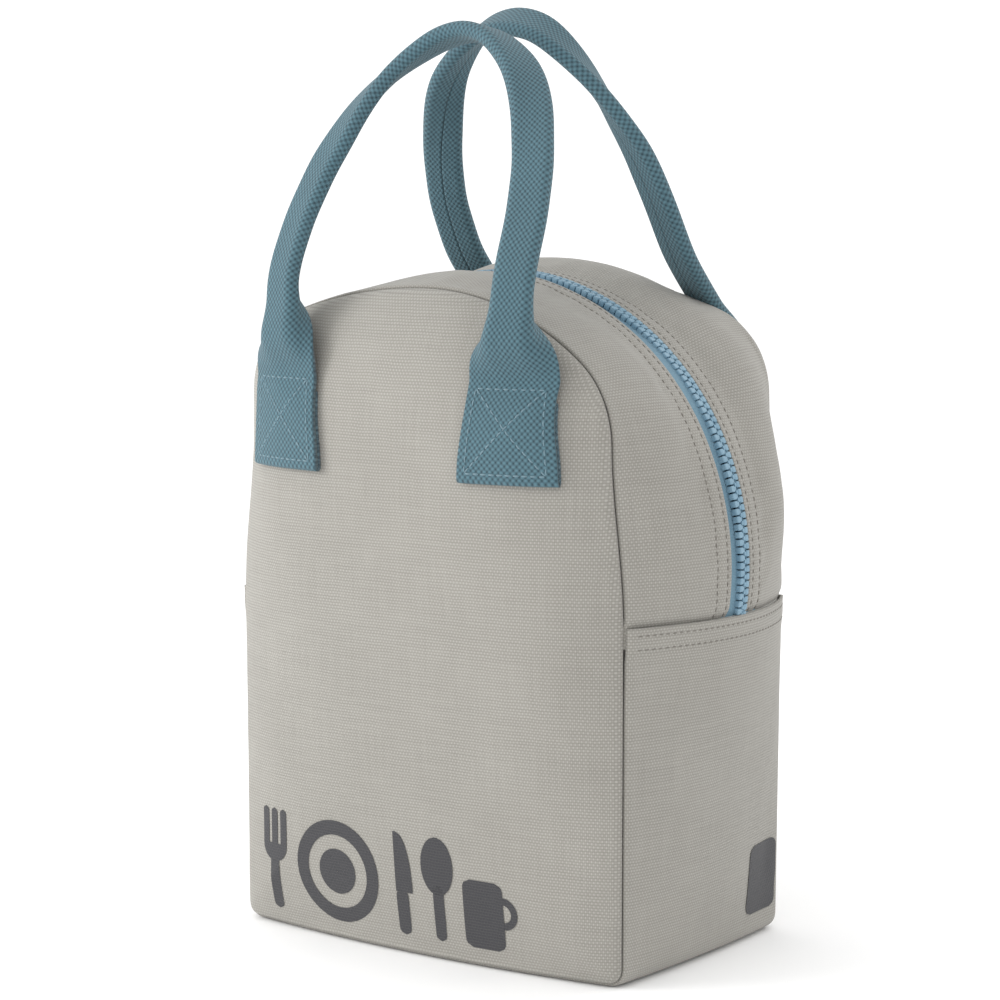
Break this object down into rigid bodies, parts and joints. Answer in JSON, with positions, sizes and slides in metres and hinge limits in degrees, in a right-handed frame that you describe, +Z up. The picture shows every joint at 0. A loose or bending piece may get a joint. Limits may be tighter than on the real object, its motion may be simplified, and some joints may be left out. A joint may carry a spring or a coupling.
{
  "type": "soft lunch bag",
  "caption": "Upright padded canvas lunch bag with an arched zipper over the top and two webbing carry handles.",
  "frame": {"origin": "middle of the base, on the face that the bag rests on", "axes": "+Z up, +X to the bag's right side as its front is seen, -Y out of the front panel"},
  "size_m": [0.2309, 0.1624, 0.3784],
  "materials": {
    "canvas": "matt plain-weave canvas",
    "foam": "matt foam sheet",
    "lining": "satin coated cloth",
    "binding": "matt woven tape",
    "webbing": "matt woven cotton webbing",
    "zip_tape": "matt woven tape",
    "zip_teeth": "moulded satin plastic",
    "slider_metal": "lacquered zinc",
    "board": "matt sheet"
  },
  "bodies": {
    "shell": {"lower_gusset": "canvas", "gusset_foam_lower": "foam", "gusset_lining_lower": "lining", "base_board": "board", "zip_tape_ends": "zip_tape", "zip_end_teeth": "zip_teeth", "top_stops": "zip_teeth", "bottom_stop": "zip_teeth", "front_panel_lower": "canvas", "front_foam_lower": "foam", "front_lining_lower": "lining", "front_strip_ends": "canvas", "front_binding_lower": "binding", "rear_panel_lower": "canvas", "rear_foam_lower": "foam", "rear_lining_lower": "lining", "rear_strip_ends": "canvas", "rear_binding_lower": "binding"},
    "front_wall": {"front_panel_upper": "canvas", "front_foam_upper": "foam", "front_lining_upper": "lining", "front_zip_strip": "canvas", "front_strip_foam": "foam", "front_strip_lining": "lining", "front_zip_tape": "zip_tape", "front_binding_upper": "binding", "front_zip_teeth": "zip_teeth", "front_tab_left": "webbing", "front_tab_right": "webbing"},
    "rear_wall": {"rear_panel_upper": "canvas", "rear_foam_upper": "foam", "rear_lining_upper": "lining", "rear_zip_strip": "canvas", "rear_strip_foam": "foam", "rear_strip_lining": "lining", "rear_zip_tape": "zip_tape", "rear_binding_upper": "binding", "rear_zip_teeth": "zip_teeth", "rear_tab_left": "webbing", "rear_tab_right": "webbing"},
    "front_handle": {"front_handle": "webbing"},
    "rear_handle": {"rear_handle": "webbing"},
    "zip_slider": {"zip_slider": "slider_metal"},
    "pull_tab": {"pull_tab": "slider_metal"}
  },
  "joints": [
    {"name": "front_wall_fold", "type": "hinge", "parent": "shell", "child": "front_wall", "pos_m": [0, -0.0755, 0.158], "axis": [1, 0, 0], "range_deg": [0, 22]},
    {"name": "rear_wall_fold", "type": "hinge", "parent": "shell", "child": "rear_wall", "pos_m": [0, 0.0755, 0.158], "axis": [-1, 0, 0], "range_deg": [0, 22]},
    {"name": "front_handle_swing", "type": "hinge", "parent": "front_wall", "child": "front_handle", "pos_m": [0, -0.0819, 0.23115], "axis": [1, 0, 0], "range_deg": [0, 150]},
    {"name": "rear_handle_swing", "type": "hinge", "parent": "rear_wall", "child": "rear_handle", "pos_m": [0, 0.0819, 0.23115], "axis": [-1, 0, 0], "range_deg": [0, 150]},
    {"name": "zip_slider_travel", "type": "hinge", "parent": "shell", "child": "zip_slider", "pos_m": [0, 0, 0.158], "axis": [0, 1, 0], "range_deg": [0, 190.2]},
    {"name": "pull_tab_swing", "type": "hinge", "parent": "zip_slider", "child": "pull_tab", "pos_m": [-0.11638, 0, 0.14756], "axis": [0, 1, 0], "range_deg": [-10, 165]}
  ]
}
